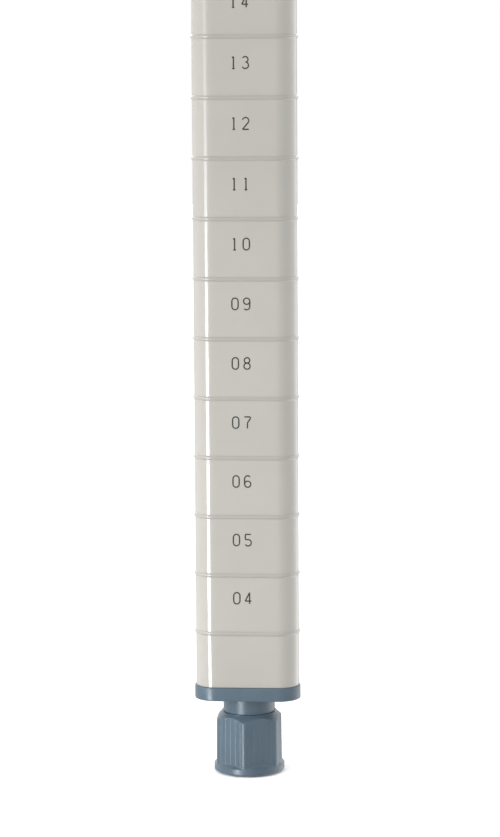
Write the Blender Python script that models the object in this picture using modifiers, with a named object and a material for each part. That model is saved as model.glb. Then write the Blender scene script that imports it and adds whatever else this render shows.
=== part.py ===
"""A shelving post's bottom length with its plug and its screw-in levelling foot, in metres, +Z up.

The post's axis is the Z axis, the foot's sole lies on z = 0 and the numbered flat faces -Y.
"""

from math import cos, radians, sin

import bmesh
import bpy

MM = 0.001
INCH = 25.4 * MM

# Gap between pieces that touch on the real object
GAP = 0.3 * MM
# How far a piece that is joined to, or cut from, another one runs past its face
OVERRUN = 2.0 * MM

# Post: a rounded triangle, given by the arcs at its corners
POST_WIDTH = 1.75 * INCH
CORNER_RADIUS = 8.8 * MM
CORNER_OFFSET = (POST_WIDTH / 2 - CORNER_RADIUS) / cos(radians(30))
CORNER_STEPS = 12
POST_WALL = 1.5 * MM
BEAD_COUNT = 12
BEAD_PITCH = INCH
FIRST_BEAD = 63.7 * MM
BEAD_RADIUS = 0.9 * MM
BEAD_PROUD = 0.5 * MM
POST_TOP = FIRST_BEAD + (BEAD_COUNT - 0.5) * BEAD_PITCH

# Plug: collar under the post, hollow body inside it, neck below
COLLAR_BOTTOM = 34.1 * MM
COLLAR_TOP = 40.0 * MM
COLLAR_PROUD = 0.65 * MM
COLLAR_EDGE = 0.5 * MM
PLUG_HEIGHT = 32.0 * MM
PLUG_WALL = 2.0 * MM
PLUG_FLOOR = 4.0 * MM
TOWER_RADIUS = 10.2 * MM
TOWER_HEIGHT = 7.2 * MM
WEB_THICKNESS = 2.0 * MM
WEB_HEIGHT = 25.0 * MM
WEB_CLEARANCE_RADIUS = 9.5 * MM
NECK_RADIUS = 11.2 * MM
NECK_BOTTOM = 26.7 * MM
NECK_EDGE = 0.4 * MM

# Cap at the post's top end
CAP_HEIGHT = 3.5 * MM
CAP_EDGE = 0.8 * MM
CAP_SKIRT = 14.0 * MM
CAP_WALL = 1.8 * MM
CAP_ROOF = 1.5 * MM

# Thread 3/8-16 UNC: bolt, bushing and the ring at the bolt's end
THREAD_RADIUS = 0.375 * INCH / 2
HEX_ACROSS_FLATS = 0.5625 * INCH
FOOT_TRAVEL = INCH
HEAD_HEIGHT = 6.0 * MM
BUSHING_RECESS = 1.5 * MM
BUSHING_FLANGE_RADIUS = 8.9 * MM
BUSHING_FLANGE_HEIGHT = 2.2 * MM
BUSHING_HEIGHT = 15.0 * MM
RING_RADIUS = 7.2 * MM
RING_HEIGHT = 1.2 * MM
STUD_TIP = 3.0 * MM
STUD_CHAMFER = 1.0 * MM

# Foot: ribbed hexagon between a chamfered top and a round base
FOOT_TOP = NECK_BOTTOM - GAP
FOOT_BOTTOM = 0.6 * MM
FOOT_TOP_RADIUS = 12.1 * MM
FOOT_CHAMFER_SLOPE = 0.95
GRIP_RADIUS = 15.45 * MM
GRIP_CORNER_RADIUS = 1.6 * MM
GRIP_CORNER_STEPS = 4
GRIP_TURN = radians(-7)
RIBS_PER_FLAT = 5
RIB_PITCH = 2.7 * MM
RIB_WIDTH = 1.0 * MM
RIB_PROUD = 0.25 * MM
BASE_RADIUS = 15.25 * MM
BASE_EDGE_RADIUS = 14.7 * MM
BASE_SHOULDER = 3.4 * MM
BASE_TOP_RADIUS = 13.0 * MM
BASE_TOP = 5.2 * MM

# Sole that snaps into the foot's base
DISC_RADIUS = 12.7 * MM
DISC_HEIGHT = 3.0 * MM
DISC_BEAD_RADIUS = 13.3 * MM
DISC_FACE_RADIUS = 12.2 * MM
RECESS_GROOVE_BOTTOM = 1.3 * MM
RECESS_GROOVE_TOP = 2.8 * MM

ROUND_STEPS = 48

# Colours are linear RGB
POST_COAT = ("post_coat", (0.50, 0.47, 0.41), 0.25, 0.0)
BLUE_POLYMER = ("blue_polymer", (0.115, 0.165, 0.205), 0.40, 0.0)
ZINC_STEEL = ("zinc_steel", (0.62, 0.62, 0.60), 0.35, 1.0)
SPRING_STEEL = ("spring_steel", (0.25, 0.25, 0.26), 0.35, 1.0)
SOLE_POLYMER = ("sole_polymer", (0.055, 0.058, 0.062), 0.50, 0.0)


def clear_scene():
    for old in list(bpy.data.objects):
        bpy.data.objects.remove(old, do_unlink=True)


def new_collection(name):
    collection = bpy.data.collections.new(name)
    bpy.context.scene.collection.children.link(collection)
    return collection


def move_to(item, collection):
    for holder in list(item.users_collection):
        holder.objects.unlink(item)
    collection.objects.link(item)


def material_of(recipe):
    name, colour, roughness, metallic = recipe
    material = bpy.data.materials.get(name)
    if material is None:
        material = bpy.data.materials.new(name)
        material.use_nodes = True
        shader = material.node_tree.nodes["Principled BSDF"]
        shader.inputs["Base Color"].default_value = (*colour, 1.0)
        shader.inputs["Roughness"].default_value = roughness
        shader.inputs["Metallic"].default_value = metallic
        material.diffuse_color = (*colour, 1.0)
    return material


def post_outline(offset):
    """The post's section with its surface moved outwards by offset, as a list of points."""
    points = []
    for corner in range(3):
        middle = radians(90 + 120 * corner)
        for step in range(CORNER_STEPS + 1):
            angle = middle + radians(-60 + 120 * step / CORNER_STEPS)
            points.append((
                CORNER_OFFSET * cos(middle) + (CORNER_RADIUS + offset) * cos(angle),
                CORNER_OFFSET * sin(middle) + (CORNER_RADIUS + offset) * sin(angle),
            ))
    return points


def grip_outline():
    """A hexagon with rounded corners and raised ribs on its flats."""
    points = []
    arc_centre = GRIP_RADIUS - GRIP_CORNER_RADIUS / cos(radians(30))
    flat_distance = GRIP_RADIUS * cos(radians(30))
    for corner in range(6):
        middle = radians(-90 + 60 * corner) + GRIP_TURN
        for step in range(GRIP_CORNER_STEPS + 1):
            angle = middle + radians(-30 + 60 * step / GRIP_CORNER_STEPS)
            points.append((
                arc_centre * cos(middle) + GRIP_CORNER_RADIUS * cos(angle),
                arc_centre * sin(middle) + GRIP_CORNER_RADIUS * sin(angle),
            ))
        normal = middle + radians(30)
        for rib in range(RIBS_PER_FLAT):
            centre = (rib - (RIBS_PER_FLAT - 1) / 2) * RIB_PITCH
            for along, out in ((-0.5, 0.0), (-0.2, 1.0), (0.2, 1.0), (0.5, 0.0)):
                side = centre + along * RIB_WIDTH
                distance = flat_distance + out * RIB_PROUD
                points.append((
                    distance * cos(normal) - side * sin(normal),
                    distance * sin(normal) + side * cos(normal),
                ))
    return points


def mesh_from_curve(name, curve, collection):
    """The curve's mesh as an object, with its caps welded to its sides."""
    holder = bpy.data.objects.new(name + "_curve", curve)
    bpy.context.scene.collection.objects.link(holder)
    depsgraph = bpy.context.evaluated_depsgraph_get()
    mesh = bpy.data.meshes.new_from_object(holder.evaluated_get(depsgraph))
    mesh.transform(holder.matrix_world)
    bpy.data.objects.remove(holder, do_unlink=True)
    work = bmesh.new()
    work.from_mesh(mesh)
    bmesh.ops.remove_doubles(work, verts=work.verts, dist=1e-7)
    bmesh.ops.recalc_face_normals(work, faces=work.faces)
    work.to_mesh(mesh)
    work.free()
    piece = bpy.data.objects.new(name, mesh)
    collection.objects.link(piece)
    return piece


def add_loop(curve, points, height=0.0):
    spline = curve.splines.new("POLY")
    spline.points.add(len(points) - 1)
    for point, (x, y) in zip(spline.points, points):
        point.co = (x, y, height, 1.0)
    spline.use_cyclic_u = True


def flat_piece(name, outline, bottom, top, collection):
    """A flat outline with the thickness from bottom to top."""
    curve = bpy.data.curves.new(name + "_outline", "CURVE")
    curve.dimensions = "2D"
    curve.fill_mode = "BOTH"
    curve.extrude = (top - bottom) / 2
    add_loop(curve, outline)
    piece = mesh_from_curve(name, curve, collection)
    piece.location.z = (bottom + top) / 2
    return piece


def turned_piece(name, profile, collection):
    """A profile of (radius, height) points turned about the Z axis."""
    mesh = bpy.data.meshes.new(name)
    vertices = [(radius, 0.0, height) for radius, height in profile]
    edges = [(index, index + 1) for index in range(len(profile) - 1)]
    if profile[0][0] > 0.0:
        edges.append((len(profile) - 1, 0))
    mesh.from_pydata(vertices, edges, [])
    piece = bpy.data.objects.new(name, mesh)
    collection.objects.link(piece)
    screw = piece.modifiers.new("turn", "SCREW")
    screw.axis = "Z"
    screw.steps = ROUND_STEPS
    screw.render_steps = ROUND_STEPS
    screw.use_merge_vertices = True
    screw.merge_threshold = 1e-6
    return piece


def straight_piece(name, sides, radius, bottom, top, collection, turn=0.0):
    """A cylinder or a prism that stands on the Z axis."""
    bpy.ops.mesh.primitive_cylinder_add(
        vertices=sides, radius=radius, depth=top - bottom,
        location=(0.0, 0.0, (bottom + top) / 2), rotation=(0.0, 0.0, turn),
    )
    piece = bpy.context.object
    piece.name = name
    move_to(piece, collection)
    return piece


def change(target, other, operation):
    boolean = target.modifiers.new(other.name, "BOOLEAN")
    boolean.operation = operation
    boolean.solver = "EXACT"
    boolean.object = other
    other.hide_render = True
    other.display_type = "WIRE"


def join(target, other):
    change(target, other, "UNION")


def cut(target, other):
    change(target, other, "DIFFERENCE")


def round_edges(target, width, segments=2):
    bevel = target.modifiers.new("edges", "BEVEL")
    bevel.width = width
    bevel.segments = segments
    bevel.limit_method = "ANGLE"
    bevel.angle_limit = radians(40)


def finish_node(piece, recipe, parent):
    piece.data.materials.append(material_of(recipe))
    bpy.ops.object.select_all(action="DESELECT")
    piece.select_set(True)
    bpy.context.view_layer.objects.active = piece
    bpy.ops.object.shade_smooth_by_angle(angle=radians(30))
    piece.parent = parent


def empty_at_origin(name, collection, parent=None):
    holder = bpy.data.objects.new(name, None)
    collection.objects.link(holder)
    holder.empty_display_size = 5 * MM
    holder.parent = parent
    return holder


def build_post_tube(parts, cutters):
    bottom = COLLAR_TOP + GAP
    tube = flat_piece("post_tube", post_outline(0.0), bottom, POST_TOP, parts)
    curve = bpy.data.curves.new("bead_path", "CURVE")
    curve.dimensions = "3D"
    curve.bevel_depth = BEAD_RADIUS
    curve.bevel_resolution = 2
    add_loop(curve, post_outline(BEAD_PROUD - BEAD_RADIUS))
    beads = mesh_from_curve("post_beads", curve, cutters)
    beads.location.z = FIRST_BEAD
    array = beads.modifiers.new("every_inch", "ARRAY")
    array.count = BEAD_COUNT
    array.use_relative_offset = False
    array.use_constant_offset = True
    array.constant_offset_displace = (0.0, 0.0, BEAD_PITCH)
    hollow = flat_piece(
        "post_hollow", post_outline(-POST_WALL), bottom - OVERRUN, POST_TOP + OVERRUN, cutters
    )
    cut(tube, hollow)
    join(tube, beads)
    return tube


def build_post_cap(parts, cutters):
    bottom = POST_TOP + GAP
    cap = flat_piece("post_cap", post_outline(0.0), bottom, bottom + CAP_HEIGHT, parts)
    round_edges(cap, CAP_EDGE, 3)
    inside = -(POST_WALL + GAP)
    skirt = flat_piece(
        "cap_skirt", post_outline(inside), bottom - CAP_SKIRT, bottom + CAP_ROOF, cutters
    )
    join(cap, skirt)
    hollow = flat_piece(
        "cap_hollow", post_outline(inside - CAP_WALL),
        bottom - CAP_SKIRT - OVERRUN, bottom + CAP_HEIGHT - CAP_ROOF, cutters,
    )
    cut(cap, hollow)
    return cap


def build_plug_body(plug, cutters):
    """The plug's hollow body inside the post, with its tower and its three webs."""
    inside = -(POST_WALL + GAP)
    top = COLLAR_TOP + PLUG_HEIGHT
    body = flat_piece("plug_body", post_outline(inside), COLLAR_TOP - OVERRUN, top, cutters)
    join(plug, body)
    floor = COLLAR_TOP + PLUG_FLOOR
    hollow = flat_piece(
        "plug_hollow", post_outline(inside - PLUG_WALL), floor, top + OVERRUN, cutters
    )
    cut(plug, hollow)
    for corner in range(3):
        angle = radians(90 + 120 * corner)
        reach = CORNER_OFFSET + CORNER_RADIUS + inside - PLUG_WALL / 2
        bpy.ops.mesh.primitive_cube_add(
            size=1.0,
            location=(
                reach / 2 * cos(angle), reach / 2 * sin(angle), floor - OVERRUN + WEB_HEIGHT / 2
            ),
            rotation=(0.0, 0.0, angle),
        )
        web = bpy.context.object
        web.name = f"plug_web_{corner}"
        web.scale = (reach, WEB_THICKNESS, WEB_HEIGHT)
        move_to(web, cutters)
        join(plug, web)
    tower_top = COLLAR_TOP + TOWER_HEIGHT
    clearance = straight_piece(
        "web_clearance", ROUND_STEPS, WEB_CLEARANCE_RADIUS, floor, top + OVERRUN, cutters
    )
    cut(plug, clearance)
    tower = straight_piece(
        "plug_tower", ROUND_STEPS, TOWER_RADIUS, floor - OVERRUN, tower_top, cutters
    )
    join(plug, tower)


def build_end_plug(parts, cutters):
    plug = flat_piece(
        "end_plug", post_outline(COLLAR_PROUD), COLLAR_BOTTOM, COLLAR_TOP, parts
    )
    round_edges(plug, COLLAR_EDGE)
    build_plug_body(plug, cutters)
    neck = turned_piece(
        "plug_neck",
        (
            (0.0, COLLAR_BOTTOM + OVERRUN),
            (NECK_RADIUS, COLLAR_BOTTOM + OVERRUN),
            (NECK_RADIUS, NECK_BOTTOM + NECK_EDGE),
            (NECK_RADIUS - NECK_EDGE, NECK_BOTTOM),
            (0.0, NECK_BOTTOM),
        ),
        cutters,
    )
    join(plug, neck)
    flange_bottom = NECK_BOTTOM + BUSHING_RECESS
    counterbore = straight_piece(
        "flange_pocket", ROUND_STEPS, BUSHING_FLANGE_RADIUS + GAP,
        NECK_BOTTOM - OVERRUN, flange_bottom + BUSHING_FLANGE_HEIGHT + GAP, cutters,
    )
    cut(plug, counterbore)
    hex_pocket = straight_piece(
        "bushing_pocket", 6, hex_corner_radius(GAP),
        flange_bottom, flange_bottom + BUSHING_HEIGHT + GAP, cutters,
    )
    cut(plug, hex_pocket)
    bore = straight_piece(
        "stud_bore", ROUND_STEPS, THREAD_RADIUS + 2 * GAP,
        flange_bottom, COLLAR_TOP + TOWER_HEIGHT + OVERRUN, cutters,
    )
    cut(plug, bore)
    return plug


def hex_corner_radius(clearance):
    """From the axis to a corner of a hexagon whose flats stand clearance outside the bolt head's."""
    return (HEX_ACROSS_FLATS / 2 + clearance) / cos(radians(30))


def build_threaded_bushing(parts, cutters):
    bottom = NECK_BOTTOM + BUSHING_RECESS
    top = bottom + BUSHING_HEIGHT
    bushing = straight_piece(
        "threaded_bushing", ROUND_STEPS, BUSHING_FLANGE_RADIUS,
        bottom, bottom + BUSHING_FLANGE_HEIGHT, parts,
    )
    round_edges(bushing, NECK_EDGE)
    body = straight_piece("bushing_body", 6, hex_corner_radius(0.0), bottom + NECK_EDGE, top, cutters)
    join(bushing, body)
    bore = straight_piece(
        "bushing_bore", ROUND_STEPS, THREAD_RADIUS + GAP, bottom - OVERRUN, top + OVERRUN, cutters
    )
    cut(bushing, bore)
    return bushing


def stop_ring_bottom():
    """The ring meets the tower's top when the foot is screwed out by its full travel."""
    return COLLAR_TOP + TOWER_HEIGHT + FOOT_TRAVEL + GAP


def build_leveling_stud(parts, cutters):
    head_bottom = DISC_HEIGHT + GAP
    head_top = head_bottom + HEAD_HEIGHT
    stud_top = stop_ring_bottom() + RING_HEIGHT + STUD_TIP
    stud = turned_piece(
        "leveling_stud",
        (
            (0.0, stud_top),
            (THREAD_RADIUS - STUD_CHAMFER, stud_top),
            (THREAD_RADIUS, stud_top - STUD_CHAMFER),
            (THREAD_RADIUS, head_top - OVERRUN),
            (0.0, head_top - OVERRUN),
        ),
        parts,
    )
    head = straight_piece(
        "stud_head", 6, hex_corner_radius(0.0), head_bottom, head_top, cutters, GRIP_TURN
    )
    round_edges(head, STUD_CHAMFER / 4)
    join(stud, head)
    return stud


def build_stop_ring(parts):
    bottom = stop_ring_bottom()
    top = bottom + RING_HEIGHT
    inner = THREAD_RADIUS + GAP
    return turned_piece(
        "stud_stop_ring",
        ((RING_RADIUS, top), (RING_RADIUS, bottom), (inner, bottom), (inner, top)),
        parts,
    )


def build_foot_body(parts, cutters):
    foot = flat_piece("foot_body", grip_outline(), BASE_SHOULDER, FOOT_TOP, parts)
    wide = GRIP_RADIUS + OVERRUN
    chamfer_bottom = FOOT_TOP - (wide - FOOT_TOP_RADIUS) * FOOT_CHAMFER_SLOPE
    envelope = turned_piece(
        "grip_envelope",
        (
            (0.0, FOOT_TOP),
            (FOOT_TOP_RADIUS, FOOT_TOP),
            (wide, chamfer_bottom),
            (wide, -OVERRUN),
            (0.0, -OVERRUN),
        ),
        cutters,
    )
    change(foot, envelope, "INTERSECT")
    base_edge = BASE_RADIUS - BASE_EDGE_RADIUS
    base = turned_piece(
        "foot_base",
        (
            (0.0, BASE_TOP),
            (BASE_TOP_RADIUS, BASE_TOP),
            (BASE_RADIUS, BASE_SHOULDER),
            (BASE_RADIUS, FOOT_BOTTOM + base_edge),
            (BASE_EDGE_RADIUS, FOOT_BOTTOM),
            (0.0, FOOT_BOTTOM),
        ),
        cutters,
    )
    join(foot, base)
    recess = turned_piece(
        "disc_recess",
        (
            (0.0, DISC_HEIGHT + GAP),
            (DISC_RADIUS + GAP, DISC_HEIGHT + GAP),
            (DISC_BEAD_RADIUS + GAP, RECESS_GROOVE_TOP),
            (DISC_BEAD_RADIUS + GAP, RECESS_GROOVE_BOTTOM),
            (DISC_RADIUS + GAP, RECESS_GROOVE_BOTTOM - GAP),
            (DISC_RADIUS + GAP, -OVERRUN),
            (0.0, -OVERRUN),
        ),
        cutters,
    )
    cut(foot, recess)
    head_pocket = straight_piece(
        "head_pocket", 6, hex_corner_radius(GAP),
        DISC_HEIGHT - GAP, DISC_HEIGHT + HEAD_HEIGHT + 2 * GAP, cutters, GRIP_TURN,
    )
    cut(foot, head_pocket)
    bore = straight_piece(
        "foot_bore", ROUND_STEPS, THREAD_RADIUS + GAP, DISC_HEIGHT, FOOT_TOP + OVERRUN, cutters
    )
    cut(foot, bore)
    return foot


def build_glide_disc(parts):
    edge = DISC_RADIUS - DISC_FACE_RADIUS
    middle = (RECESS_GROOVE_BOTTOM + RECESS_GROOVE_TOP) / 2
    return turned_piece(
        "glide_disc",
        (
            (0.0, DISC_HEIGHT),
            (DISC_RADIUS, DISC_HEIGHT),
            (DISC_BEAD_RADIUS, middle + GAP),
            (DISC_BEAD_RADIUS, middle - GAP),
            (DISC_RADIUS, RECESS_GROOVE_BOTTOM - GAP),
            (DISC_RADIUS, edge),
            (DISC_FACE_RADIUS, 0.0),
            (0.0, 0.0),
        ),
        parts,
    )


def main():
    clear_scene()
    parts = new_collection("shelving_post_foot")
    cutters = new_collection("cutters")
    post = empty_at_origin("post_frame", parts)
    slide = empty_at_origin("foot_slide", parts, post)
    spin = empty_at_origin("foot_spin", parts, slide)
    finish_node(build_post_tube(parts, cutters), POST_COAT, post)
    finish_node(build_post_cap(parts, cutters), BLUE_POLYMER, post)
    finish_node(build_end_plug(parts, cutters), BLUE_POLYMER, post)
    finish_node(build_threaded_bushing(parts, cutters), ZINC_STEEL, post)
    finish_node(build_glide_disc(parts), SOLE_POLYMER, slide)
    finish_node(build_foot_body(parts, cutters), BLUE_POLYMER, spin)
    finish_node(build_leveling_stud(parts, cutters), ZINC_STEEL, spin)
    finish_node(build_stop_ring(parts), SPRING_STEEL, spin)


main()
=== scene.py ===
from math import cos, pi, radians, sin

import bpy
import numpy as np
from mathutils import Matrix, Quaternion, Vector


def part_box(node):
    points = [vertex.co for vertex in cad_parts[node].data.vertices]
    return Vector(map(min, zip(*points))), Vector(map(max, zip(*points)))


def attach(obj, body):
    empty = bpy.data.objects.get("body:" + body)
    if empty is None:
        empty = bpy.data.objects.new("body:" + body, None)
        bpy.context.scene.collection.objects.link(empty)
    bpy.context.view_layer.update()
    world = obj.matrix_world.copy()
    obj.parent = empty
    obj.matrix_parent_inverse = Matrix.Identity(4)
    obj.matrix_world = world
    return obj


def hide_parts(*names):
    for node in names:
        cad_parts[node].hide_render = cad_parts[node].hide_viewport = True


# A shelving post's numbered bottom length, its moulded plug and its screw-in levelling foot.
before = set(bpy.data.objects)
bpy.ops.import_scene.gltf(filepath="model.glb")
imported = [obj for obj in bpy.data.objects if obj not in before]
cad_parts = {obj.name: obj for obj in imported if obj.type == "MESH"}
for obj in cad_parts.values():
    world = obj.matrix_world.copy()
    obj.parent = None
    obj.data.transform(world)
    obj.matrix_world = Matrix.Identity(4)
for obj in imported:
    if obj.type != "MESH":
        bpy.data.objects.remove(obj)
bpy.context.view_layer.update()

MM = 0.001
GAP = 0.3 * MM

# Angles of the triangle and the hexagons
DEG_30, DEG_60, DEG_90, DEG_120 = radians(30), radians(60), radians(90), radians(120)

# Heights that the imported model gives
TUBE_LOW, TUBE_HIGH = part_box("post_tube")
PLUG_LOW, PLUG_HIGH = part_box("end_plug")
CAP_LOW, CAP_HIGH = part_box("post_cap")
FOOT_LOW, FOOT_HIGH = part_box("foot_body")
STUD_LOW, STUD_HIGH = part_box("leveling_stud")
DISC_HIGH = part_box("glide_disc")[1]

# Post: a rounded triangle with rolled beads
BEAD_PROUD = 0.5 * MM
BEAD_HALF_HEIGHT = 0.95 * MM
BEAD_POWER = 1.7
BEAD_POINTS = 17
# The rings of true wall on both sides of a bead, in bead half heights from its middle
WALL_NEAR, WALL_FAR = 1.06, 1.5
BEAD_COUNT = 12
BEAD_PITCH = 25.4 * MM
FIRST_BEAD = 63.7 * MM
POST_WIDTH = TUBE_HIGH.x - TUBE_LOW.x - 2 * BEAD_PROUD
CORNER_RADIUS = 8.8 * MM
CORNER_OFFSET = (POST_WIDTH / 2 - CORNER_RADIUS) / cos(DEG_30)
FRONT_FLAT = CORNER_OFFSET / 2 + CORNER_RADIUS
POST_WALL = 1.5 * MM
POST_EDGE = 0.15 * MM
ARC_STEPS = 24
FLAT_STEPS = 14

# Plug
COLLAR_TOP = TUBE_LOW.z - GAP
COLLAR_HEIGHT = 5.9 * MM
COLLAR_PROUD = 0.65 * MM
COLLAR_EDGE = 0.5 * MM
PLUG_WALL = 2.0 * MM
PLUG_CHAMFER = 0.6 * MM
PLUG_FLOOR = 4.0 * MM
TOWER_RADIUS = 10.2 * MM
TOWER_HEIGHT = 7.2 * MM
WEB_THICKNESS = 2.0 * MM
WEB_HEIGHT = 23.0 * MM
WEB_EDGE = 0.3 * MM
NECK_RADIUS = 11.2 * MM
NECK_EDGE = 0.10 * MM
NECK_FILLET = 0.5 * MM

# Cap
CAP_HEIGHT = 3.5 * MM
CAP_EDGE = 0.8 * MM
CAP_WALL = 1.8 * MM
CAP_ROOF = 1.5 * MM
CAP_SKIRT_EDGE = 0.3 * MM
CAP_RIM_EDGE = 0.2 * MM
CAP_END_INSET = 4 * MM

# Thread 3/8-16 UNC and the bushing's place in the neck
THREAD_RADIUS = 4.7625 * MM
THREAD_ROOT = 3.86 * MM
THREAD_PITCH = 25.4 / 16 * MM
THREAD_RINGS = 12
THREAD_TIP_CHAMFER = 1.2 * MM
# Where a thread's crest ends and its root begins, in pitches from the crest's middle
CREST_END, ROOT_START = 1 / 16, 3 / 8
HEX_FLAT = 7.14375 * MM
HEAD_HEIGHT = 6.0 * MM
HEAD_CHAMFER = 0.9 * MM
HEAD_CHAMFER_HEIGHT = 0.5 * MM
HEAD_FILLET = 0.2 * MM
HEAD_FILLET_HEIGHT = 0.3 * MM
STUD_POINT_STEP = 7.5
BUSHING_RECESS = 1.5 * MM
BUSHING_HEIGHT = 15.0 * MM
FLANGE_RADIUS = 8.9 * MM
FLANGE_HEIGHT = 2.2 * MM

# Foot
FOOT_TOP_RADIUS = 12.1 * MM
FOOT_CHAMFER_SLOPE = 0.95
FOOT_TOP_EDGE = 0.1 * MM
FOOT_TOP_EDGE_HEIGHT = 0.15 * MM
BORE_CHAMFER = 0.5 * MM
GRIP_RADIUS = 15.45 * MM
GRIP_CORNER_RADIUS = 2.4 * MM
GRIP_TURN = radians(-5)
GRIP_DRAFT = 0.012
GRIP_FLAT_POINTS = 86
GRIP_CORNER_POINTS = 9
RIBS_PER_FLAT = 5
RIB_PITCH = 2.7 * MM
RIB_WIDTH = 1.0 * MM
RIB_FLANK = 0.42 * MM
RIB_PROUD = 0.10 * MM
BASE_RADIUS = 15.25 * MM
BASE_EDGE = 0.55 * MM
BASE_SHOULDER = 3.4 * MM
BASE_TOP_RADIUS = 13.0 * MM
BASE_TOP = 5.2 * MM
BLEND = 0.35 * MM
SEAM = 0.05 * MM

# Sole
DISC_RADIUS = 12.7 * MM
DISC_BEAD_RADIUS = 13.3 * MM
DISC_FACE_RADIUS = 12.2 * MM
GROOVE_BOTTOM = 1.3 * MM
GROOVE_TOP = 2.8 * MM
DISC_BEAD_ROUND = 0.5 * MM
DISC_TOP_EDGE = 0.2 * MM
DISC_HUB_RADIUS = 2 * MM
WEAR_RING_INSIDE = 9.4 * MM
WEAR_RING_FOOT = 9.2 * MM
WEAR_RING_HEIGHT = 0.3 * MM
DISC_POINT_STEP = 3.0

# Printed figures: one number in each interval between two beads, counted up from the bottom.
# The numbers sink a little in their intervals towards the top, as in the photograph.
FIRST_FIGURE = 4
LAST_FIGURE = 14
FIGURE_HEIGHT = 4.95 * MM
FIGURE_WIDTH = 2.65 * MM
FIGURE_PITCH = 4.95 * MM
FIGURE_SIDE = -1.4 * MM
FIGURE_DROP = 9.8 * MM
FIGURE_DRIFT = 0.11 * MM
FIGURE_STROKE = 0.60 * MM
INK_PROUD = 0.03 * MM

# Camera
CAMERA_AZIMUTH = radians(4)
CAMERA_DISTANCE = 1.2405
CAMERA_HEIGHT = 0.3231
CAMERA_AIM_HEIGHT = 0.1547
CAMERA_AIM_SIDE = 0.00107
CAMERA_ROLL = radians(-0.326)
CAMERA_LENS = 125.2
CAMERA_CLIP_END = 50.0

# Colours
ENAMEL_TONES = (0.280, 0.271, 0.249), (0.295, 0.287, 0.264)
ENAMEL_SPECK = (0.272, 0.261, 0.238)
# Painted shade: the darker colour laid over each bead's band, standing in for the shade on its
# slopes
ENAMEL_BEAD_SHADE = (0.250, 0.242, 0.222)
POLYMER_TONES = (0.046, 0.073, 0.097), (0.055, 0.084, 0.110)
POLYMER_PIT = (0.084, 0.120, 0.150)
ZINC_TONES = (0.58, 0.58, 0.56), (0.68, 0.68, 0.65)
SPRING_TONES = (0.20, 0.20, 0.21), (0.28, 0.28, 0.30)
SOLE_TONES = (0.050, 0.053, 0.057), (0.078, 0.080, 0.082)
INK_TONES = (0.012, 0.012, 0.011), (0.035, 0.033, 0.031)
FLOOR_TONES = (0.96, 0.96, 0.96), (0.97, 0.97, 0.97)

# The band of painted shade on a bead, standing in for the shade on its slopes, in distances from
# the bead's middle
BEAD_SHADE_FULL, BEAD_SHADE_END = 0.75 * MM, 1.15 * MM
ZINC_ROUGHNESS = 0.42
SPRING_ROUGHNESS = 0.36


# ---------------------------------------------------------------- mesh helpers

def ring(outline, height):
    """The points of a flat outline at one height."""
    outline = np.asarray(outline)
    return np.column_stack([outline, np.full(len(outline), height)])


def circle(radius, angles):
    """Points on a circle about the origin, with the angles in radians."""
    return np.column_stack([radius * np.cos(angles), radius * np.sin(angles)])


def arc(centre, radius, start, end, steps=5):
    """Points on an arc in a plane, with its angles in degrees."""
    return [
        (centre[0] + radius * cos(a), centre[1] + radius * sin(a))
        for a in np.radians(np.linspace(start, end, steps + 1))
    ]


def loft(name, rings, closed=False, sharp=32):
    """A mesh through rings of equal length.

    Closed joins the last ring to the first. Otherwise both ends get a face.
    """
    count = len(rings[0])
    rows = len(rings)
    points = np.vstack(rings)
    faces = []
    for row in range(rows if closed else rows - 1):
        here = row * count
        above = (row + 1) % rows * count
        for i in range(count):
            j = (i + 1) % count
            faces.append((here + i, here + j, above + j, above + i))
    if not closed:
        faces.append(tuple(range(count - 1, -1, -1)))
        faces.append(tuple(range((rows - 1) * count, rows * count)))
    mesh = bpy.data.meshes.new(name)
    mesh.from_pydata(points.tolist(), [], faces)
    mesh.validate()
    mesh.shade_smooth()
    mesh.set_sharp_from_angle(angle=radians(sharp))
    piece = bpy.data.objects.new(name, mesh)
    bpy.context.scene.collection.objects.link(piece)
    return piece


def place(piece, body, slot, material, *nodes):
    """Gives a piece its material, its body and the CAD nodes that it stands for."""
    piece.data.materials.clear()
    piece.data.materials.append(material)
    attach(piece, body)
    if nodes:
        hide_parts(*nodes)
    return piece


# ---------------------------------------------------------------- post, cap and plug

def post_outline(offset):
    """The post's section moved outwards by offset: three corner arcs and the flats between them."""
    points = []
    for corner in range(3):
        middle = DEG_90 + DEG_120 * corner
        centre = np.array([cos(middle), sin(middle)]) * CORNER_OFFSET
        angles = middle + np.radians(np.linspace(-60, 60, ARC_STEPS + 1))
        turn = centre + circle(CORNER_RADIUS + offset, angles)
        following = middle + DEG_120
        next_centre = np.array([cos(following), sin(following)]) * CORNER_OFFSET
        start_angle = np.array([following - DEG_60])
        next_start = next_centre + circle(CORNER_RADIUS + offset, start_angle)
        share = np.linspace(0, 1, FLAT_STEPS + 2)[1:-1, None]
        points.append(turn)
        points.append(turn[-1] * (1 - share) + next_start * share)
    return np.vstack(points)


def post_angles():
    """The direction of each point of the post's outline, for round sections that join it."""
    outline = post_outline(0.0)
    return np.arctan2(outline[:, 1], outline[:, 0])


def post_rings(profile):
    """Rings of the post's section through a profile of offsets and heights."""
    return [ring(post_outline(offset), height) for offset, height in profile]


def round_rings(profile, angles):
    """Round rings through a profile of radii and heights."""
    return [ring(circle(radius, angles), height) for radius, height in profile]


def bead_profile(height):
    """A rolled bead: it swells from the wall and falls back to it, with true wall on both sides."""
    swell = [
        (BEAD_PROUD * (1 - abs(s) ** BEAD_POWER), height + s * BEAD_HALF_HEIGHT)
        for s in np.sin(np.linspace(-pi / 2, pi / 2, BEAD_POINTS))
    ]
    near, far = WALL_NEAR * BEAD_HALF_HEIGHT, WALL_FAR * BEAD_HALF_HEIGHT
    below = [(0.0, height - far), (0.0, height - near)]
    above = [(0.0, height + near), (0.0, height + far)]
    return below + swell + above


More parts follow.
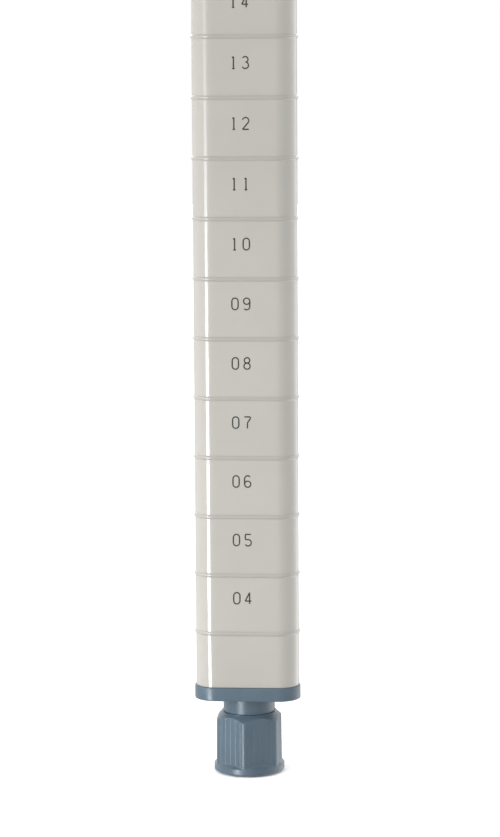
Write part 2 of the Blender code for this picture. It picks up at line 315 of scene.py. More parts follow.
def build_post(material):
    """The tube: the beaded outside, rounded ends and the plain inside."""
    bottom, top = COLLAR_TOP + SEAM, TUBE_HIGH.z
    profile = arc((-POST_EDGE, bottom + POST_EDGE), POST_EDGE, -90, 0)
    for bead in range(BEAD_COUNT):
        profile += bead_profile(FIRST_BEAD + bead * BEAD_PITCH)
    profile += arc((-POST_EDGE, top - POST_EDGE), POST_EDGE, 0, 90)
    profile += arc((POST_EDGE - POST_WALL, top - POST_EDGE), POST_EDGE, 90, 180)
    profile += arc((POST_EDGE - POST_WALL, bottom + POST_EDGE), POST_EDGE, 180, 270)
    piece = loft("beaded_post", post_rings(profile), closed=True)
    return place(piece, "post", "post_coat", material, "post_tube")


def build_cap(material):
    """The cap's rounded plate, with the hollow skirt that grips the inside of the post."""
    top = CAP_HIGH.z
    plate = top - CAP_HEIGHT
    skirt = -(POST_WALL + GAP)
    hollow = skirt - CAP_WALL
    skirt_round = CAP_LOW.z + CAP_SKIRT_EDGE
    profile = [(hollow - CAP_END_INSET, top - CAP_ROOF), (hollow, top - CAP_ROOF)]
    profile += arc((hollow + CAP_SKIRT_EDGE, skirt_round), CAP_SKIRT_EDGE, 180, 270, 3)
    profile += arc((skirt - CAP_SKIRT_EDGE, skirt_round), CAP_SKIRT_EDGE, -90, 0, 3)
    profile += [(skirt, plate)]
    profile += arc((-CAP_RIM_EDGE, plate + CAP_RIM_EDGE), CAP_RIM_EDGE, -90, 0, 3)
    profile += arc((-CAP_EDGE, top - CAP_EDGE), CAP_EDGE, 0, 90, 8)
    profile += [(-CAP_END_INSET, top)]
    piece = loft("moulded_cap", post_rings(profile))
    return place(piece, "post", "blue_polymer", material, "post_cap")


def hexagon(flat, angles, turn):
    """A regular hexagon's points in given directions."""
    from_flat = (angles - turn) % DEG_60 - DEG_30
    return circle(1.0, angles) * (flat / np.cos(from_flat))[:, None]


def build_plug(material):
    """Neck, collar and hollow body in one skin, with the stepped bore for the bushing."""
    angles = post_angles()
    neck_bottom = PLUG_LOW.z
    collar_bottom = COLLAR_TOP - COLLAR_HEIGHT
    rim = NECK_RADIUS - NECK_EDGE
    neck = [(FLANGE_RADIUS + GAP, neck_bottom)]
    neck += arc((rim, neck_bottom + NECK_EDGE), NECK_EDGE, -90, 0)
    neck += arc((NECK_RADIUS + NECK_FILLET, collar_bottom - NECK_FILLET), NECK_FILLET, 180, 90)
    collar = arc((COLLAR_PROUD - COLLAR_EDGE, collar_bottom + COLLAR_EDGE), COLLAR_EDGE, -90, 0)
    top_edge = COLLAR_EDGE / 2
    collar += arc((COLLAR_PROUD - top_edge, COLLAR_TOP - top_edge), top_edge, 0, 90)
    body = -(POST_WALL + GAP)
    hollow = body - PLUG_WALL
    floor = COLLAR_TOP + PLUG_FLOOR
    inside = [(body, COLLAR_TOP), (body, PLUG_HIGH.z - PLUG_CHAMFER)]
    inside += [(body - PLUG_CHAMFER, PLUG_HIGH.z), (hollow, PLUG_HIGH.z), (hollow, floor)]
    flange_bottom = neck_bottom + BUSHING_RECESS
    pocket_top = flange_bottom + BUSHING_HEIGHT + GAP
    pocket_bottom = flange_bottom + FLANGE_HEIGHT + GAP
    tower_top = COLLAR_TOP + TOWER_HEIGHT
    bore = THREAD_RADIUS + 2 * GAP
    tower = [(TOWER_RADIUS, floor), (TOWER_RADIUS, tower_top)]
    tower += [(bore, tower_top), (bore, pocket_top)]
    rings = round_rings(neck, angles)
    rings += post_rings(collar + inside)
    rings += round_rings(tower, angles)
    pocket = hexagon(HEX_FLAT + GAP, angles, 0.0)
    rings += [ring(pocket, pocket_top), ring(pocket, pocket_bottom)]
    rings += round_rings([(FLANGE_RADIUS + GAP, pocket_bottom)], angles)
    piece = loft("moulded_plug", rings, closed=True)
    return place(piece, "post", "blue_polymer", material, "end_plug")


def build_plug_web(corner, material):
    """A stiffening rib from the plug's tower to one of its corners."""
    angle = DEG_90 + DEG_120 * corner
    reach = CORNER_OFFSET + CORNER_RADIUS - POST_WALL - GAP - PLUG_WALL
    half = WEB_THICKNESS / 2
    low = COLLAR_TOP + PLUG_FLOOR
    corners = [(TOWER_RADIUS, -half), (reach, -half), (reach, half), (TOWER_RADIUS, half)]
    turned = [
        (x * cos(angle) - y * sin(angle), x * sin(angle) + y * cos(angle)) for x, y in corners
    ]
    rings = [ring(turned, low), ring(turned, low + WEB_HEIGHT)]
    piece = loft(f"plug_web_{corner}", rings)
    soften = piece.modifiers.new("edges", "BEVEL")
    soften.width = WEB_EDGE
    soften.segments = 2
    return place(piece, "post", "blue_polymer", material)


# ---------------------------------------------------------------- foot, stud and sole

def smooth_least(a, b, width):
    """The lesser of two, with a rounded change from one to the other."""
    share = np.maximum(width - np.abs(a - b), 0.0) / width
    return np.minimum(a, b) - share * share * width / 4


def smooth_greatest(a, b, width):
    """The greater of two, with a rounded change from one to the other."""
    return -smooth_least(-a, -b, width)


def rib_height(along):
    """How far the ribs stand off a flat, at a distance along it from its middle."""
    centres = (np.arange(RIBS_PER_FLAT) - (RIBS_PER_FLAT - 1) / 2) * RIB_PITCH
    nearest = np.abs(along[:, None] - centres).min(axis=1)
    rise = np.clip((RIB_WIDTH / 2 - nearest) / RIB_FLANK, 0.0, 1.0)
    return RIB_PROUD * rise * rise * (3 - 2 * rise)


def grip_outline():
    """The foot's hexagon: rounded corners and ribbed flats."""
    arc_centre = GRIP_RADIUS - GRIP_CORNER_RADIUS / cos(DEG_30)
    flat = GRIP_RADIUS * cos(DEG_30)
    half = arc_centre * sin(DEG_30)
    along = np.linspace(-half, half, GRIP_FLAT_POINTS)[1:-1]
    points = []
    for side in range(6):
        corner = DEG_60 * side - DEG_90 + GRIP_TURN
        centre = np.array([cos(corner), sin(corner)]) * arc_centre
        angles = corner + np.linspace(-DEG_30, DEG_30, GRIP_CORNER_POINTS)
        points.append(centre + circle(GRIP_CORNER_RADIUS, angles))
        normal = np.array([cos(corner + DEG_30), sin(corner + DEG_30)])
        tangent = np.array([-normal[1], normal[0]])
        points.append((flat + rib_height(along))[:, None] * normal + along[:, None] * tangent)
    return np.vstack(points)


def base_radius(height):
    """The round base's radius: a rounded bottom edge, a short wall and a slope up to the grip."""
    if height > BASE_TOP:
        return 0.0
    if height > BASE_SHOULDER:
        share = (height - BASE_SHOULDER) / (BASE_TOP - BASE_SHOULDER)
        return BASE_RADIUS + (BASE_TOP_RADIUS - BASE_RADIUS) * share
    below = max(0.0, 1 - (height - FOOT_LOW.z) / BASE_EDGE)
    return BASE_RADIUS - BASE_EDGE * (1 - (1 - below * below) ** 0.5)


def foot_ring(height, angles, grip):
    """The foot's outside at one height: the grip, cut by the top chamfer and joined to the base."""
    chamfer = FOOT_TOP_RADIUS + (FOOT_HIGH.z - height) / FOOT_CHAMFER_SLOPE
    drafted = grip * (1 - GRIP_DRAFT * (height - BASE_TOP) / (FOOT_HIGH.z - BASE_TOP))
    radius = smooth_least(drafted, chamfer, BLEND)
    if height > BASE_SHOULDER:
        radius = smooth_greatest(radius, base_radius(height), BLEND)
        radius = np.minimum(radius, BASE_RADIUS)
    else:
        radius = np.full(len(grip), base_radius(height))
    return ring(circle(1.0, angles) * radius[:, None], height)


def build_foot(material):
    """The moulded foot in one skin: outside, bore, head pocket and the recess for the sole."""
    outline = grip_outline()
    angles = np.arctan2(outline[:, 1], outline[:, 0])
    grip = np.hypot(outline[:, 0], outline[:, 1])
    low, top = FOOT_LOW.z, PLUG_LOW.z - SEAM
    chamfer_foot = top - (GRIP_RADIUS - FOOT_TOP_RADIUS) * FOOT_CHAMFER_SLOPE - BLEND
    heights = np.concatenate([
        low + BASE_EDGE * (1 - np.cos(np.linspace(0, pi / 2, 6))),
        np.linspace(low + BASE_EDGE, BASE_SHOULDER, 4)[1:],
        np.linspace(BASE_SHOULDER, BASE_TOP + BLEND, 32)[1:],
        np.linspace(BASE_TOP + BLEND, chamfer_foot, 8)[1:],
        np.linspace(chamfer_foot, top - FOOT_TOP_EDGE_HEIGHT, 36)[1:],
    ])
    rings = [foot_ring(height, angles, grip) for height in heights]
    pocket_top = DISC_HIGH.z + HEAD_HEIGHT + 2 * GAP
    recess_top = DISC_HIGH.z + GAP
    bore = THREAD_RADIUS + GAP
    inside = [
        (FOOT_TOP_RADIUS - FOOT_TOP_EDGE, top),
        (bore + BORE_CHAMFER, top),
        (bore, top - BORE_CHAMFER),
        (bore, pocket_top),
    ]
    rings += round_rings(inside, angles)
    pocket = hexagon(HEX_FLAT + GAP, angles, GRIP_TURN)
    rings += [ring(pocket, pocket_top), ring(pocket, recess_top)]
    recess = [
        (DISC_RADIUS + GAP, recess_top),
        (DISC_BEAD_RADIUS + GAP, GROOVE_TOP),
        (DISC_BEAD_RADIUS + GAP, GROOVE_BOTTOM),
        (DISC_RADIUS + GAP, GROOVE_BOTTOM - GAP),
        (DISC_RADIUS + GAP, low),
    ]
    rings += round_rings(recess, angles)
    piece = loft("ribbed_foot", rings, closed=True, sharp=38)
    return place(piece, "foot", "blue_polymer", material, "foot_body")


def thread_radius(angles, height):
    """A right-hand 60 degree thread with flat crests and roots, run out at the tip."""
    phase = (height / THREAD_PITCH - angles / (2 * pi)) % 1.0
    from_crest = np.minimum(phase, 1 - phase)
    depth = np.clip((from_crest - CREST_END) / (ROOT_START - CREST_END), 0.0, 1.0)
    tip = THREAD_RADIUS - THREAD_TIP_CHAMFER + max(0.0, STUD_HIGH.z - height)
    return np.minimum(THREAD_RADIUS + (THREAD_ROOT - THREAD_RADIUS) * depth, tip)


def build_stud(material):
    """The bolt: a chamfered hexagonal head, an underhead fillet and the thread."""
    angles = GRIP_TURN + np.radians(np.arange(0, 360, STUD_POINT_STEP))
    head_top = STUD_LOW.z + HEAD_HEIGHT
    flats = hexagon(HEX_FLAT, angles, GRIP_TURN)
    flat_radius = np.hypot(flats[:, 0], flats[:, 1])
    corner = HEX_FLAT / cos(DEG_30)
    rings = []
    for inset, height in (
        (HEAD_CHAMFER, STUD_LOW.z),
        (0.0, STUD_LOW.z + HEAD_CHAMFER_HEIGHT),
        (0.0, head_top - HEAD_CHAMFER_HEIGHT),
        (HEAD_CHAMFER, head_top),
    ):
        radius = np.minimum(flat_radius, corner - inset)
        rings.append(ring(circle(1.0, angles) * radius[:, None], height))
    rings += round_rings([(THREAD_RADIUS + HEAD_FILLET, head_top)], angles)
    steps = int((STUD_HIGH.z - head_top) / THREAD_PITCH * THREAD_RINGS)
    for height in np.linspace(head_top + HEAD_FILLET_HEIGHT, STUD_HIGH.z, steps):
        rings.append(ring(circle(1.0, angles) * thread_radius(angles, height)[:, None], height))
    piece = loft("threaded_stud", rings, sharp=30)
    return place(piece, "foot", "zinc_steel", material, "leveling_stud")


def build_sole(material):
    """The snap-in sole with its bead, a rounded running edge and a raised wear ring on top."""
    angles = np.radians(np.arange(0, 360, DISC_POINT_STEP))
    top = DISC_HIGH.z
    floor = top - WEAR_RING_HEIGHT
    middle = (GROOVE_BOTTOM + GROOVE_TOP) / 2
    edge = DISC_RADIUS - DISC_FACE_RADIUS
    profile = [(DISC_HUB_RADIUS, 0.0), (DISC_FACE_RADIUS, 0.0)]
    profile += arc((DISC_FACE_RADIUS, edge), edge, -90, 0, 5)
    profile += [(DISC_RADIUS, GROOVE_BOTTOM - GAP)]
    profile += arc((DISC_BEAD_RADIUS - DISC_BEAD_ROUND, middle), DISC_BEAD_ROUND, -60, 60, 6)
    profile += [(DISC_RADIUS, top - DISC_TOP_EDGE), (DISC_RADIUS - DISC_TOP_EDGE, top)]
    profile += [(WEAR_RING_INSIDE, top), (WEAR_RING_FOOT, floor), (DISC_HUB_RADIUS, floor)]
    piece = loft("glide_sole", round_rings(profile, angles))
    return place(piece, "sole", "sole_polymer", material, "glide_disc")


# ---------------------------------------------------------------- printed figures

def digit_strokes(digit):
    """One digit's pen strokes about the middle of its base line, in metres."""
    r = FIGURE_WIDTH / 2
    h = FIGURE_HEIGHT
    small = r * 0.88
    low, high = (0.0, r), (0.0, h - r)
    strokes = {
        "0": [arc(high, r, 0, 180, 12) + arc(low, r, 180, 360, 12) + [(r, h - r)]],
        "1": [
            [(-r * 0.45, h * 0.9), (0.0, h), (0.0, 0.0)],
            [(-r * 0.42, 0.0), (r * 0.42, 0.0)],
        ],
        "2": [arc(high, r, 165, -42, 14) + [(-r, 0.0), (r, 0.0)]],
        "3": [
            arc((0.0, h - small), small, 155, -72, 13),
            arc(low, r * 1.02, 88, -155, 16),
        ],
        "4": [[(r * 0.4, 0.0), (r * 0.4, h), (-r, h * 0.26), (r, h * 0.26)]],
        "5": [
            [(r * 0.95, h), (-r * 0.85, h), (-r * 0.88, h * 0.55)]
            + arc(low, r * 1.05, 105, -150, 16)
        ],
        "6": [arc(low, r, 180, -180, 22) + [(-r, h - r)] + arc(high, r, 180, 40, 10)],
        "7": [
            [(-r * 0.95, h), (r * 0.95, h), (r * 0.95, h * 0.84), (r * 0.05, h * 0.5), (0.0, 0.0)]
        ],
        "8": [arc((0.0, h - small), small, -90, 270, 22), arc(low, r, 90, 450, 24)],
        "9": [arc(high, r, 0, 360, 22) + [(r, r)] + arc(low, r, 0, -140, 10)],
    }
    return strokes[digit]


def build_label(number, height, material):
    """A two-figure number, a thin film of ink on the post's front flat.

    Each straight piece of a stroke is a spline of its own, because a bevelled line pinches where
    it turns sharply.
    """
    name = f"ink_number_{number:02d}"
    curve = bpy.data.curves.new(name, "CURVE")
    curve.dimensions = "3D"
    curve.bevel_depth = FIGURE_STROKE / 2
    curve.bevel_resolution = 3
    curve.use_fill_caps = True
    for place_in_number, digit in enumerate(f"{number:02d}"):
        side = FIGURE_SIDE + (place_in_number - 0.5) * FIGURE_PITCH
        for stroke in digit_strokes(digit):
            for ends in zip(stroke, stroke[1:]):
                spline = curve.splines.new("POLY")
                spline.points.add(1)
                for point, (x, z) in zip(spline.points, ends):
                    point.co = (x + side, 0.0, z + height - FIGURE_HEIGHT / 2, 1.0)
    holder = bpy.data.objects.new(name + "_pen", curve)
    bpy.context.scene.collection.objects.link(holder)
    depsgraph = bpy.context.evaluated_depsgraph_get()
    mesh = bpy.data.meshes.new_from_object(holder.evaluated_get(depsgraph))
    bpy.data.objects.remove(holder, do_unlink=True)
    flatten = INK_PROUD / (FIGURE_STROKE / 2)
    for vertex in mesh.vertices:
        vertex.co.y = vertex.co.y * flatten - FRONT_FLAT
    mesh.shade_smooth()
    piece = bpy.data.objects.new(name, mesh)
    bpy.context.scene.collection.objects.link(piece)
    piece.data.materials.append(material)
    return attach(piece, "post")


# ---------------------------------------------------------------- materials

def add(tree, kind, inputs=None, **settings):
    """A node with its settings and its unlinked inputs."""
    made = tree.nodes.new(kind)
    for key, value in settings.items():
        setattr(made, key, value)
    for key, value in (inputs or {}).items():
        made.inputs[key].default_value = value
    return made


def new_material(name, **sockets):
    """A material, its tree, its shader and the object's own coordinates."""
    material = bpy.data.materials.new(name)
    material.use_nodes = True
    tree = material.node_tree
    shader = tree.nodes["Principled BSDF"]
    for key, value in sockets.items():
        shader.inputs[key.replace("_", " ")].default_value = value
    coordinates = add(tree, "ShaderNodeTexCoord").outputs["Object"]
    return material, tree, shader, coordinates


def noise(tree, coordinates, scale, detail=2.0, stretch=(1.0, 1.0, 1.0)):
    """Noise with scale cells to the metre, stretched along the axes."""
    mapping = add(tree, "ShaderNodeMapping", {"Scale": stretch})
    texture = add(tree, "ShaderNodeTexNoise", {"Scale": scale, "Detail": detail})
    tree.links.new(coordinates, mapping.inputs["Vector"])
    tree.links.new(mapping.outputs["Vector"], texture.inputs["Vector"])
    return texture.outputs["Fac"]


def ranged(tree, value, low, high, start=0.3, end=0.7):
    """The value's middle range stretched over low to high."""
    scaled = add(
        tree, "ShaderNodeMapRange",
        {"From Min": start, "From Max": end, "To Min": low, "To Max": high},
    )
    tree.links.new(value, scaled.inputs["Value"])
    return scaled.outputs["Result"]


def blend_colours(tree, factor, first, second):
    """A colour that goes from first to second, each a colour or a socket, with the factor."""
    mix = add(tree, "ShaderNodeMix", data_type="RGBA")
    for socket, colour in ((mix.inputs["A"], first), (mix.inputs["B"], second)):
        if isinstance(colour, tuple):
            socket.default_value = (*colour, 1.0)
        else:
            tree.links.new(colour, socket)
    tree.links.new(factor, mix.inputs["Factor"])
    return mix.outputs["Result"]


def relief(tree, shader, layers):
    """Bumps laid over each other, each a height with its strength and depth."""
    normal = None
    for height, strength, depth in layers:
        bump = add(tree, "ShaderNodeBump", {"Strength": strength, "Distance": depth})
        tree.links.new(height, bump.inputs["Height"])
        if normal is not None:
            tree.links.new(normal, bump.inputs["Normal"])
        normal = bump.outputs["Normal"]
    tree.links.new(normal, shader.inputs["Normal"])


def enamel_material():
    """Baked beige enamel: tone drift, fine specks, painted shade on the beads, orange peel and a
    gloss.
    """
    material, tree, shader, at = new_material(
        "beige_enamel", Coat_Weight=1.0, Coat_Roughness=0.04, Specular_IOR_Level=0.25
    )
    drift = ranged(tree, noise(tree, at, 28.0, 3.0), 0.0, 1.0)
    specks = ranged(tree, noise(tree, at, 2600.0, 1.0), 0.0, 1.0, 0.66, 0.74)
    base = blend_colours(tree, drift, *ENAMEL_TONES)
    speckled = blend_colours(tree, specks, base, ENAMEL_SPECK)
    split = add(tree, "ShaderNodeSeparateXYZ")
    tree.links.new(at, split.inputs["Vector"])
    # Painted shade: a darker band over each bead, standing in for the shade that falls on its
    # slopes
    over_bead = calculate(tree, "SUBTRACT", split.outputs["Z"], FIRST_BEAD)
    from_bead = calculate(tree, "PINGPONG", over_bead, BEAD_PITCH / 2)
    bead_shade = ranged(tree, from_bead, 1.0, 0.0, BEAD_SHADE_FULL, BEAD_SHADE_END)
    colour = blend_colours(tree, bead_shade, speckled, ENAMEL_BEAD_SHADE)
    tree.links.new(colour, shader.inputs["Base Color"])
    haze = ranged(tree, noise(tree, at, 90.0, 4.0, (1.0, 1.0, 0.25)), 0.34, 0.44)
    tree.links.new(haze, shader.inputs["Roughness"])
    peel = noise(tree, at, 420.0, 1.5)
    scuffs = noise(tree, at, 160.0, 5.0, (6.0, 6.0, 0.3))
    relief(tree, shader, [(peel, 0.05, 0.05 * MM), (scuffs, 0.03, 0.02 * MM)])
    return material


def polymer_material():
    """Blue-grey moulded polymer: flow marks, a fine pitted grain and slightly polished patches."""
    material, tree, shader, at = new_material("blue_polymer_moulded", Specular_IOR_Level=0.5)
    flow = ranged(tree, noise(tree, at, 110.0, 3.0, (1.0, 1.0, 0.35)), 0.0, 1.0)
    grain = noise(tree, at, 3200.0, 2.0)
    base = blend_colours(tree, flow, *POLYMER_TONES)
    pits = ranged(tree, grain, 0.0, 1.0, 0.60, 0.75)
    colour = blend_colours(tree, pits, base, POLYMER_PIT)
    tree.links.new(colour, shader.inputs["Base Color"])
    polish = ranged(tree, noise(tree, at, 240.0, 4.0), 0.32, 0.42)
    tree.links.new(polish, shader.inputs["Roughness"])
    waves = noise(tree, at, 500.0, 2.0)
    relief(tree, shader, [(grain, 0.12, 0.03 * MM), (waves, 0.05, 0.04 * MM)])
    return material


def steel_material(name, tones, rough, scratch):
    """Plated steel: cloudy plating, with turned or drawn scratches along one way."""
    material, tree, shader, at = new_material(name, Metallic=1.0, Anisotropic=0.3)
    cloud = ranged(tree, noise(tree, at, 180.0, 4.0), 0.0, 1.0)
    tree.links.new(blend_colours(tree, cloud, *tones), shader.inputs["Base Color"])
    lines = noise(tree, at, 900.0, 3.0, scratch)
    tree.links.new(ranged(tree, lines, rough - 0.07, rough + 0.08), shader.inputs["Roughness"])
    relief(tree, shader, [(lines, 0.15, 0.02 * MM)])
    return material


def sole_material():
    """Dark hard polymer, dulled by sliding: dusty patches on a matt grain."""
    material, tree, shader, at = new_material("sole_polymer_worn", Specular_IOR_Level=0.45)
    dust = ranged(tree, noise(tree, at, 300.0, 5.0), 0.0, 1.0)
    colour = blend_colours(tree, dust, *SOLE_TONES)
    tree.links.new(colour, shader.inputs["Base Color"])
    wear = noise(tree, at, 700.0, 3.0)
    tree.links.new(ranged(tree, wear, 0.45, 0.62), shader.inputs["Roughness"])
    relief(tree, shader, [(wear, 0.15, 0.03 * MM)])
    return material


def ink_material():
    """Screened ink: dense grey that thins a little where the screen lifted."""
    material, tree, shader, at = new_material("figure_ink", Specular_IOR_Level=0.35)
    thin = ranged(tree, noise(tree, at, 1500.0, 3.0), 0.0, 1.0, 0.45, 0.8)
    colour = blend_colours(tree, thin, *INK_TONES)
    tree.links.new(colour, shader.inputs["Base Color"])
    tree.links.new(ranged(tree, noise(tree, at, 2500.0), 0.4, 0.6), shader.inputs["Roughness"])
    relief(tree, shader, [(noise(tree, at, 3000.0), 0.1, 0.01 * MM)])
    return material


def floor_material():
    """Plain pale studio floor."""
    material, tree, shader, at = new_material("pale_floor", Roughness=0.8)
    drift = ranged(tree, noise(tree, at, 3.0, 2.0), 0.0, 1.0)
    colour = blend_colours(tree, drift, *FLOOR_TONES)
    tree.links.new(colour, shader.inputs["Base Color"])
    return material


# ---------------------------------------------------------------- studio

# Brightness of the studio by direction, in degrees from -Y towards +X. The upper half lights the
# object. The lower half shows only in its gloss, because the floor shuts it out otherwise.
UPPER_LIGHT = (
    (-180, 2.2), (-150, 2.0), (-120, 1.3), (-95, 2.0), (-65, 2.8), (-58, 5.2), (-22, 5.0),
    (-12, 1.4), (15, 0.7), (30, 0.5), (70, 1.5), (95, 2.6), (112, 2.8), (135, 1.8), (160, 1.8),
    (180, 2.2),
)
LOWER_LIGHT = (
    (-180, 0.60), (-165, 0.75), (-140, 0.85), (-120, 0.95), (-80, 0.80), (-55, 0.65), (-25, 0.50),
    (0, 0.45), (25, 0.30), (60, 0.55), (85, 1.10), (100, 1.50), (118, 2.10), (138, 2.10),
    (152, 1.30), (163, 0.30), (180, 0.50),
)
OVERHEAD_LIGHT = 1.1
# The ceiling takes over from the walls between these elevations, in degrees
ROOF_FROM, ROOF_TO = 30, 50
# The lower half is brighter by this below the first elevation, and as given above the second
LOW_GAIN = 1.1
LOW_GAIN_FROM, LOW_GAIN_TO = -15, -4
# The upper half takes over from the lower one between these places on the height ramp
RISE_FROM, RISE_TO = 0.50, 0.54

# One tall strip light, by direction in degrees. Its slant is in turns for each unit of height.
STRIP_FROM, STRIP_TO = -46.7, -31.7
STRIP_SOFT_EDGE = 1
STRIP_SLANT = 0.043
STRIP_LIGHT = 22.0
# Brightness of the strip by the sine of the elevation
STRIP_HEIGHTS = (
    (-0.60, 0.0), (-0.50, 0.5), (-0.35, 1.0), (-0.18, 1.0), (-0.12, 0.70), (-0.094, 0.52),
    (-0.07, 0.37), (-0.042, 0.19), (-0.019, 0.13), (0.007, 0.075), (0.05, 0.04), (0.10, 0.0),
)

# A low light close to the foot
FILL_PLACE = Vector((-0.30, -0.26, 0.06))
FILL_AIM = Vector((0.0, 0.0, 0.03))
FILL_SIZE = 0.20
FILL_POWER = 0.7

FLOOR_HALF_WIDTH = 4.0


def ramp(tree, value, stops):
    """A curve through (place, level) stops, with the value on 0 to 1."""
    made = add(tree, "ShaderNodeValToRGB")
    elements = made.color_ramp.elements
    elements.remove(elements[1])
    for index, (position, level) in enumerate(stops):
        element = elements[0] if index == 0 else elements.new(position)
        element.position = position
        element.color = (level, level, level, 1.0)
    tree.links.new(value, made.inputs["Fac"])
    return made.outputs["Color"]


def calculate(tree, operation, first, second=0.0):
    """One arithmetic step on sockets or numbers."""
    made = add(tree, "ShaderNodeMath", operation=operation)
    for socket, value in zip(made.inputs, (first, second)):
        if isinstance(value, float):
            socket.default_value = value
        else:
            tree.links.new(value, socket)
    return made.outputs["Value"]


def around_stops(stops):
    """Stops by direction in degrees, put on a ramp that runs once round."""
    return [(angle / 360 + 0.5, level) for angle, level in stops]


def height_stops(stops):
    """Stops by the sine of the elevation, put on a ramp from straight down to straight up."""
    return [(0.5 + 0.5 * sine, level) for sine, level in stops]


def build_studio():
    """Soft white studio all round, with a ceiling and one tall strip light at the front left."""
    world = bpy.data.worlds.new("studio")
    bpy.context.scene.world = world
    world.use_nodes = True
    tree = world.node_tree
    background = tree.nodes["Background"]
    split = add(tree, "ShaderNodeSeparateXYZ")
    tree.links.new(add(tree, "ShaderNodeTexCoord").outputs["Generated"], split.inputs["Vector"])
    x, y, z = split.outputs
    turn = calculate(tree, "ARCTAN2", x, calculate(tree, "MULTIPLY", y, -1.0))
    around = calculate(tree, "ADD", calculate(tree, "DIVIDE", turn, 2 * pi), 0.5)
    height = calculate(tree, "ADD", calculate(tree, "MULTIPLY", z, 0.5), 0.5)
    upper = ramp(tree, around, around_stops(UPPER_LIGHT))
    lower = ramp(tree, around, around_stops(LOWER_LIGHT))
    rise = ramp(tree, height, [(RISE_FROM, 0.0), (RISE_TO, 1.0)])
    roof_stops = [(sin(radians(ROOF_FROM)), 0.0), (sin(radians(ROOF_TO)), 1.0)]
    roof = ramp(tree, height, height_stops(roof_stops))
    gain_stops = [(sin(radians(LOW_GAIN_FROM)), LOW_GAIN), (sin(radians(LOW_GAIN_TO)), 1.0)]
    gain = ramp(tree, height, height_stops(gain_stops))
    strip_stops = [
        (STRIP_FROM - STRIP_SOFT_EDGE, 0.0),
        (STRIP_FROM, 1.0),
        (STRIP_TO, 1.0),
        (STRIP_TO + STRIP_SOFT_EDGE, 0.0),
    ]
    slanted = calculate(tree, "ADD", around, calculate(tree, "MULTIPLY", z, STRIP_SLANT))
    strip = ramp(tree, slanted, around_stops(strip_stops))
    fade = ramp(tree, height, height_stops(STRIP_HEIGHTS))
    walls = calculate(tree, "MULTIPLY", upper, calculate(tree, "SUBTRACT", 1.0, roof))
    above = calculate(tree, "ADD", walls, calculate(tree, "MULTIPLY", roof, OVERHEAD_LIGHT))
    above = calculate(tree, "MULTIPLY", above, rise)
    below = calculate(tree, "MULTIPLY", lower, gain)
    below = calculate(tree, "MULTIPLY", below, calculate(tree, "SUBTRACT", 1.0, rise))
    glow = calculate(tree, "MULTIPLY", calculate(tree, "MULTIPLY", strip, fade), STRIP_LIGHT)
    light = calculate(tree, "ADD", calculate(tree, "ADD", above, below), glow)
    seen = add(tree, "ShaderNodeLightPath").outputs["Is Camera Ray"]
    strength = add(tree, "ShaderNodeMix", {"B": 1.0})
    tree.links.new(seen, strength.inputs["Factor"])
    tree.links.new(light, strength.inputs["A"])
    tree.links.new(strength.outputs["Result"], background.inputs["Strength"])
    background.inputs["Color"].default_value = (1.0, 1.0, 1.0, 1.0)


def build_fill():
    """A low light at the front left, without a shadow, that lifts the foot and the lower post."""
    data = bpy.data.lights.new("low_fill", "AREA")
    data.shape = "DISK"
    data.size = FILL_SIZE
    data.energy = FILL_POWER
    data.use_shadow = False
    fill = bpy.data.objects.new("low_fill", data)
    bpy.context.scene.collection.objects.link(fill)
    fill.location = FILL_PLACE
    fill.rotation_euler = (FILL_AIM - FILL_PLACE).to_track_quat("-Z", "Y").to_euler()
    fill.visible_glossy = False


def build_floor():
    """A pale floor. The gloss on the object shows the studio and not the floor."""
    half = FLOOR_HALF_WIDTH
    mesh = bpy.data.meshes.new("studio_floor")
    corners = [(-half, -half, 0.0), (half, -half, 0.0), (half, half, 0.0), (-half, half, 0.0)]
    mesh.from_pydata(corners, [], [(0, 1, 2, 3)])
    floor = bpy.data.objects.new("studio_floor", mesh)
    bpy.context.scene.collection.objects.link(floor)
    mesh.materials.append(floor_material())
    floor.visible_glossy = False


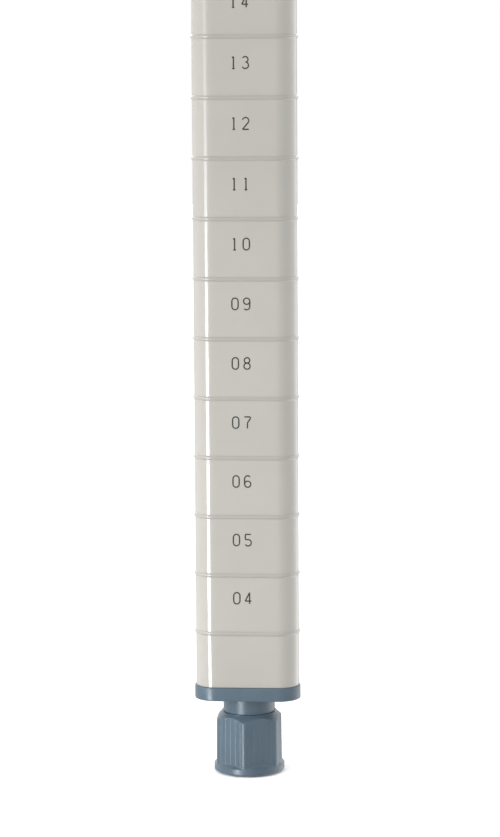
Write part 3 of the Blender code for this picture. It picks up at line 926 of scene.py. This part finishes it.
def build_camera():
    """The photograph's view: a little right of the flat, and looking slightly down."""
    data = bpy.data.cameras.new("camera")
    data.lens = CAMERA_LENS
    data.clip_end = CAMERA_CLIP_END
    camera = bpy.data.objects.new("camera", data)
    bpy.context.scene.collection.objects.link(camera)
    side = Vector((cos(CAMERA_AZIMUTH), sin(CAMERA_AZIMUTH), 0.0))
    away = Vector((sin(CAMERA_AZIMUTH), -cos(CAMERA_AZIMUTH), 0.0))
    place_at = away * CAMERA_DISTANCE + Vector((0.0, 0.0, CAMERA_HEIGHT))
    target = side * CAMERA_AIM_SIDE + Vector((0.0, 0.0, CAMERA_AIM_HEIGHT))
    look = (target - place_at).to_track_quat("-Z", "Y")
    camera.rotation_mode = "QUATERNION"
    camera.rotation_quaternion = look @ Quaternion((0.0, 0.0, 1.0), CAMERA_ROLL)
    camera.location = place_at
    bpy.context.scene.camera = camera


# ---------------------------------------------------------------- assembly

def repaint(node, material):
    """A CAD node keeps its shape and gets a finished material."""
    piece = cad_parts[node]
    piece.data.materials.clear()
    piece.data.materials.append(material)


def build_labels(material):
    """One number below each bead from the second one up."""
    for number in range(FIRST_FIGURE, LAST_FIGURE + 1):
        bead_above = FIRST_BEAD + (number - FIRST_FIGURE + 1) * BEAD_PITCH
        drift = (number - FIRST_FIGURE) * FIGURE_DRIFT
        build_label(number, bead_above - FIGURE_DROP - drift, material)


def main():
    """Camera, studio, every piece of the part and its materials."""
    enamel = enamel_material()
    polymer = polymer_material()
    zinc = steel_material("zinc_plate", ZINC_TONES, ZINC_ROUGHNESS, (1.0, 1.0, 8.0))
    spring = steel_material("spring_blue", SPRING_TONES, SPRING_ROUGHNESS, (1.0, 1.0, 4.0))
    build_camera()
    build_studio()
    build_fill()
    build_floor()
    build_post(enamel)
    build_cap(polymer)
    build_plug(polymer)
    for corner in range(3):
        build_plug_web(corner, polymer)
    build_foot(polymer)
    build_stud(zinc)
    build_sole(sole_material())
    build_labels(ink_material())
    repaint("threaded_bushing", zinc)
    repaint("stud_stop_ring", spring)
    bpy.context.scene.view_settings.view_transform = "Standard"


main()
